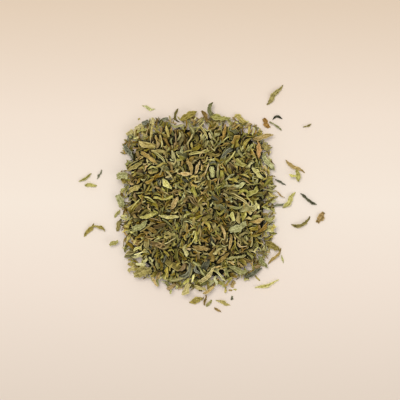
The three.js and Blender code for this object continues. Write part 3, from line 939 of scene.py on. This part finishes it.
def foot_flakes():
    for i in range(FOOT_FLAKES):
        n = FIRST_FOOT_FLAKE + i
        angle = 360 * (i + FOOT_JITTER * draw(n, 7)) / FOOT_FLAKES
        out = Vector((cos(radians(angle)), sin(radians(angle)), 0))
        place = out * (draw_from(FOOT_SHARE, n, 8) / reach(out.x, out.y))
        place.z = draw_from(FOOT_LIFT, n, 6)
        heading = angle + draw_from(FOOT_TURN, n, 3)
        form_flake(n, place, facing(place.x, place.y), heading, draw_from(FOOT_PITCH, n, 4))


def under_flakes():
    n, made = FIRST_UNDER_FLAKE, 0
    while made < UNDER_FLAKES:
        x, y = scattered(n)
        if UNDER_SHARE[0] <= reach(x, y) <= UNDER_SHARE[1]:
            form_flake(n, (x, y, draw_from(UNDER_LIFT, n, 6)), UP, draw_from(ALL_ROUND, n, 3))
            made += 1
        n += 1


saved_ground = ground.copy()
under_flakes()
ground = saved_ground
foot_flakes()
top_flakes()
print("flakes of the solid", sum(len(rows_of) for rows_of in laid_flakes.values()))

# %% [markdown]
# ## The small flakes
# They fall in showers. The first fills the heap up to its slope, wherever it is still too low, and the
# next two put smaller ones into the gaps that are left. The last is a thin one of narrow shreds, which
# may rest on the edge of a large leaf but not hide it. A flake that would stick out too far is left out.

# %% Showers of small flakes, in millimetres
SEED = 7
SINK = 0.35 * MM
OVERHANG = 2 * MM
SKIN = 0.9 * MM
PROUD = 2.6 * MM
TIPPING = 15
SHORTER = 1.2
SMALL_KINDS = ["blade", "boat", "blade", "quill", "arch", "scrap", "blade", "boat", "hook", "scrap", "screw"]
SHOWERS = [
    {"most": 2400, "tries": 60000, "length": (3.2, 14), "share": (0.34, 0.62), "over": -0.4},
    {"most": 360, "tries": 30000, "length": (2.8, 6), "share": (0.4, 0.75), "over": -0.6},
    {"most": 360, "tries": 40000, "length": (1.8, 3.4), "share": (0.4, 0.75), "over": -1.2},
]
LAST_SHOWER = {"most": 260, "tries": 9000, "length": (3, 9), "share": (0.2, 0.45), "over": 1.1}
MOST_HIDING = 0.3
under_flake = np.zeros_like(ground, dtype=bool)
dice = np.random.default_rng(SEED)
print("showers", len(SHOWERS) + 1)

# %% [markdown]
# ## Letting a flake fall
# The flake is held over its place, and the smallest gap between it and the map says how far it falls. It
# sinks in a little, because leaf is soft.


# %% How high the heap should be, and where a flake comes to rest
def wanted_height(x, y):
    return heap_height(x, y) + SKIN if reach(x, y) < 1 else 0.0


def drop(kind_name, variant, points, x, y, sink):
    """Where this flake comes to rest at (x, y), or None where it meets or hides a large leaf."""
    moved = points + np.array([x, y, 0])
    spots = masters[kind_name][variant]["spots"] @ moved
    at = cells(spots)
    rest = (ground[at] - spots[:, 2]).max() - sink
    rest = max(rest, -moved[:, 2].min())
    if (spots[:, 2] + rest > ceiling[at]).any() or under_flake[at].mean() > MOST_HIDING:
        return None
    moved[:, 2] += rest
    return moved


def sticks_out(points):
    """Whether the flake's highest point is too far above the slope, or above the solid's box."""
    top = points[points[:, 2].argmax()]
    return top[2] > min(wanted_height(top[0], top[1]) + PROUD, cad_box[1][2])


# %% [markdown]
# ## The showers
# A flake is tried at a random place on the plan. It is passed over where the heap is high enough already,
# and where it is too long for a place so near the foot. All draws come from one seeded source, so every
# run gives the same heap.


# %% Four showers
def shower(most, tries, length, share, over):
    made = 0
    for attempt in range(tries):
        if made == most:
            break
        x = dice.uniform(-1, 1) * HALF_WIDTH
        y = dice.uniform(-1, 1) * HALF_DEPTH
        at = cells(np.array([[x, y]]))
        if reach(x, y) > 1 or ground[at][0] > wanted_height(x, y) + over * MM:
            continue
        kind_name = SMALL_KINDS[dice.integers(len(SMALL_KINDS))]
        variant = int(dice.integers(VARIANTS))
        long = (length[0] + (length[1] - length[0]) * dice.uniform() ** SHORTER) * MM
        if long / 2 > (1 - reach(x, y)) * HALF_WIDTH + OVERHANG:
            continue
        pitch, roll = dice.normal(0, TIPPING, 2) + (0, 180 * dice.integers(2))
        points = stretched(kind_name, variant, long, long * dice.uniform(*share))
        points = turned(points, facing(x, y), dice.uniform(*ALL_ROUND), pitch, roll)
        settled = drop(kind_name, variant, points, x, y, SINK)
        if settled is None or sticks_out(settled):
            continue
        own = (painted_patch_shade(x, y) * dice.uniform(PLAINEST, 1), dice.uniform() ** 2, dice.uniform())
        keep(kind_name, variant, settled, TINTS[dice.integers(len(TINTS))], own)
        made += 1
    print("small flakes", made, "after", attempt + 1, "tries")


for each in SHOWERS:
    shower(**each)

bed = ground.copy()
for leaf, *_ in loose:
    shape = points_of(leaf)
    np.maximum.at(ground, cells(shape), shape[:, 2])
under_flake = (ceiling < OPEN) & (ceiling > 0)
ceiling[under_flake] = OPEN
shower(**LAST_SHOWER)

# %% [markdown]
# ## Bits round the foot
# A few bits too small to count as leaves lie at the heap's edge and between the strays, so they join the
# small flakes. The number of each one picks its master and how vivid it is.

# %% Bits: number, kind, colour, middle, heading, length and width
BITS = {
    0: ("screw", "bronze", 49.8, 5, -40, 6.6, 1.8),
    1: ("screw", "slate", 48.8, -1.6, 14, 7, 2.6),
    2: ("blade", "sage", 51.3, -33.6, -78, 5, 2),
    4: ("scrap", "lime", 57.3, 16.6, -15, 4.6, 2.2),
    5: ("scrap", "bronze", 17.4, -48.9, 5, 2.6, 1.4),
    6: ("scrap", "olive", 16.8, -52.2, 80, 3, 2.2),
    7: ("scrap", "tan", 20.1, -52.2, 0, 2.4, 1.6),
    8: ("scrap", "lime", 22.8, -51.9, 5, 2.2, 1.4),
    9: ("scrap", "slate", 20.7, -57, 75, 2.7, 2),
    10: ("scrap", "olive", -34.8, 50.4, 60, 1.6, 1.4),
    11: ("scrap", "slate", -31, 48.6, 20, 4.4, 4),
    12: ("scrap", "slate", -19, 50.4, 10, 3.6, 3),
    13: ("scrap", "olive", -26.4, 48.8, 80, 4, 3.6),
    14: ("scrap", "olive", -7, -51.2, 60, 8, 5),
    15: ("blade", "olive", 2, -50.8, -20, 8, 4.6),
    16: ("scrap", "bronze", -15.6, -49.6, 30, 6, 3.4),
    17: ("scrap", "sage", -15.9, -53, 80, 2.4, 2),
    18: ("blade", "tan", 7, -52, 35, 8, 3.6),
    23: ("blade", "olive", 36.3, -45, -48, 4.6, 2),
    28: ("scrap", "olive", -39, -39.3, 40, 5.4, 3.8),
    32: ("scrap", "olive", -40.2, 42.3, 30, 4.8, 3.2),
    39: ("scrap", "olive", -35.1, 45.9, 30, 5, 3.6),
    40: ("scrap", "olive", 45.3, -14.7, 80, 4.6, 2.8),
}
BIT_TONE = 0.6
BIT_AGE = 0.2

for number, (kind_name, tint, x, y, heading, length, width) in BITS.items():
    variant = number % VARIANTS
    flat = turned(stretched(kind_name, variant, length * MM, width * MM), UP, heading, 0, 0)
    settled = drop(kind_name, variant, flat, x * MM, y * MM, 0)
    if settled is not None:
        keep(kind_name, variant, settled, tint, (BIT_TONE, BIT_AGE, draw(number, 51)))
print("bits", len(BITS))

# %% [markdown]
# ## Painted shade in the hollows
# Shade is painted into the hollows of the heap, so that the crests stand out pale and the gaps look deep.
# This step takes the map's height over the heap's smooth slope, halfway between its height with and
# without the large leaves, and averages it over the cells nearby. A point well above that average keeps
# its own tone, one level with it loses half, and one well below it loses nearly all. Light comes in from
# the side at the foot, so less is taken off there.

# %% How far a point lies below what is near it
NEAR = 3
SHALLOWEST = -1.1 * MM
DEEPEST = 1.1 * MM
FOOT_SHADE = 0.55
BRIGHTEST = 0.8

across = [(i + 0.5) * CELL - MAP_X for i in range(columns)]
along = [(j + 0.5) * CELL - MAP_Y for j in range(rows)]
slope = np.array([[wanted_height(x, y) for y in along] for x in across])
shade_share = np.array([[FOOT_SHADE if reach(x, y) > FOOT else 1 for y in along] for x in across])
relief = (bed + ground) / 2 - slope
nearby = np.zeros_like(relief)
steps = range(-NEAR, NEAR + 1)
for step_x in steps:
    for step_y in steps:
        nearby += np.roll(relief, (step_x, step_y), (0, 1)) / len(steps) ** 2


def tones_with_painted_shade(points, own):
    """The three numbers of each point, with shade painted into its tone where it lies in a hollow."""
    at = cells(points)
    depth = nearby[at] - (points[:, 2] - slope[at])
    numbers = np.tile(own, (len(points), 1))
    numbers[:, 0] = np.minimum(numbers[:, 0], BRIGHTEST)
    # Painted shade: the tone is darkened by how deep the point lies in a hollow.
    numbers[:, 0] *= 1 - shade_share[at] * np.clip((depth - SHALLOWEST) / (DEEPEST - SHALLOWEST), 0, 1)
    return numbers


# %% [markdown]
# ## Dressing the large leaves
# Every finished piece is dressed in the same way: it gets its points' numbers, its finish and smooth
# shading, rides on the heap's body and takes the place of a node. A loose leaf gets the finish that its
# node's material slot names, and what stands for the heap gets the finish of its colour.


# %% Finish, body and node
SMOOTH_ANGLE = 40
LEAF_AGE = (0, 0.6)
LEAF_VIVID = (0.2, 0.7)


def dress(piece, numbers, tint, node_name):
    """Gives a piece its numbers and finish, and hands it to the body in place of a node."""
    give_numbers(piece.data, numbers)
    piece.data.materials.append(FINISHES[tint])
    only(piece)
    bpy.ops.object.shade_smooth_by_angle(angle=radians(SMOOTH_ANGLE))
    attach(piece, "root")
    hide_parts(node_name)


for leaf, number, tone, tint, node_name in loose:
    own = (tone, draw_from(LEAF_AGE, number, 12), draw_from(LEAF_VIVID, number, 13))
    dress(leaf, tones_with_painted_shade(points_of(leaf), own), tint, node_name)
print("dressed", len(loose), "large leaves")

# %% [markdown]
# ## One piece for each colour
# Some thousands of objects would be slow to handle and to export, so the flakes of one colour become one
# mesh. Each flake keeps its own points and faces in it, and its own tone, age and vividness, with the
# shade painted into the hollows in its tone.


# %% Join the flakes of each colour
def join_flakes(name, flakes):
    points, faces, uvs, numbers = [], [], [], []
    first = 0
    for kind_name, variant, placed, own in flakes:
        shape = masters[kind_name][variant]
        points.append(placed)
        faces.extend(tuple(first + corner for corner in face) for face in shape["faces"])
        uvs.append(shape["uv"])
        numbers.append(tones_with_painted_shade(placed, own))
        first += len(placed)
    mesh = bpy.data.meshes.new(name)
    mesh.from_pydata(np.concatenate(points).tolist(), [], faces)
    layer = mesh.uv_layers.new(name="UVMap")
    layer.data.foreach_set("uv", np.concatenate(uvs).ravel().astype(np.float32))
    piece = bpy.data.objects.new(name, mesh)
    bpy.context.scene.collection.objects.link(piece)
    return piece, np.concatenate(numbers)


for tint, flakes in laid_flakes.items():
    piece, numbers = join_flakes("flakes_" + tint, flakes)
    dress(piece, numbers, tint, "heap")
    print(piece.name, len(flakes), "flakes,", len(piece.data.polygons), "faces")

# %% [markdown]
# ## The core
# Between the flakes the eye looks down into the inside of the heap. Its finish is a crowd of small dark
# cells, each a little different, with bump at their edges, because packed crumbs are too fine to model.
# Their near-black colours are painted shade, as little light gets so deep into the heap.

# %% Core finish
core_finish, tree, shader = new_finish("packed crumbs", roughness=0.95)
place = node(tree, "TexCoord").outputs["Object"]
crumbs = node(tree, "TexVoronoi", Vector=place, Scale=700.0).outputs["Color"]
grey = node(tree, "SeparateColor", Color=crumbs).outputs[0]
# Painted shade: near-black colours stand for the shade deep inside the heap.
dark = ramp(tree, grey, (0.0, "0d0a05"), (0.45, "1c170b"), (0.75, "2f2914"), (1.0, "4a4224"))
tree.links.new(dark, shader.inputs["Base Color"])
edges = node(tree, "TexVoronoi", {"feature": "DISTANCE_TO_EDGE"}, Vector=place, Scale=700.0).outputs[0]
bump = node(tree, "Bump", Strength=0.9, Distance=0.5 * MM, Height=edges)
tree.links.new(bump.outputs["Normal"], shader.inputs["Normal"])

# %% [markdown]
# ## The core's shape
# The core is a ball pressed to the mound's shape. Its upper half follows the slope some way down, its
# lower half is all but flat, and every point is moved up or down a little, like crumbs.

# %% Press a ball to the core's shape
CORE_BOTTOM = 0.9 * MM
CORE_LEAST = CORE_BOTTOM + 0.6 * MM
CRUMB = 0.5 * MM
BELOW_SPREAD = 0.7
BELOW_CRUMB = 0.3
POLE = 1e-6

bpy.ops.object.select_all(action="DESELECT")
bpy.ops.mesh.primitive_uv_sphere_add(segments=96, ring_count=48, radius=1)
core = bpy.context.object
core.name = "packed_core"
for number, point in enumerate(core.data.vertices):
    side = Vector((point.co.x, point.co.y, 0))
    flat = side.length
    share = CORE_REACH * (flat if point.co.z >= 0 else flat**BELOW_SPREAD)
    out = Vector((0, 0, 0))
    if flat > POLE:
        way = side.normalized()
        out = way / reach(way.x, way.y) * share
    rough = CRUMB * (2 * draw(number, 31) - 1)
    if point.co.z >= 0:
        point.co = (out.x, out.y, max(CORE_LEAST, heap_height(out.x, out.y) - CORE_DEPTH) + rough)
    else:
        point.co = (out.x, out.y, CORE_BOTTOM + BELOW_CRUMB * rough)
core.data.materials.append(core_finish)
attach(core, "root")
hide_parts("heap")
print("core", [round(v / MM, 1) for v in np.ptp(points_of(core), axis=0)])

# %% [markdown]
# ## The end

# %% The last cell
import json
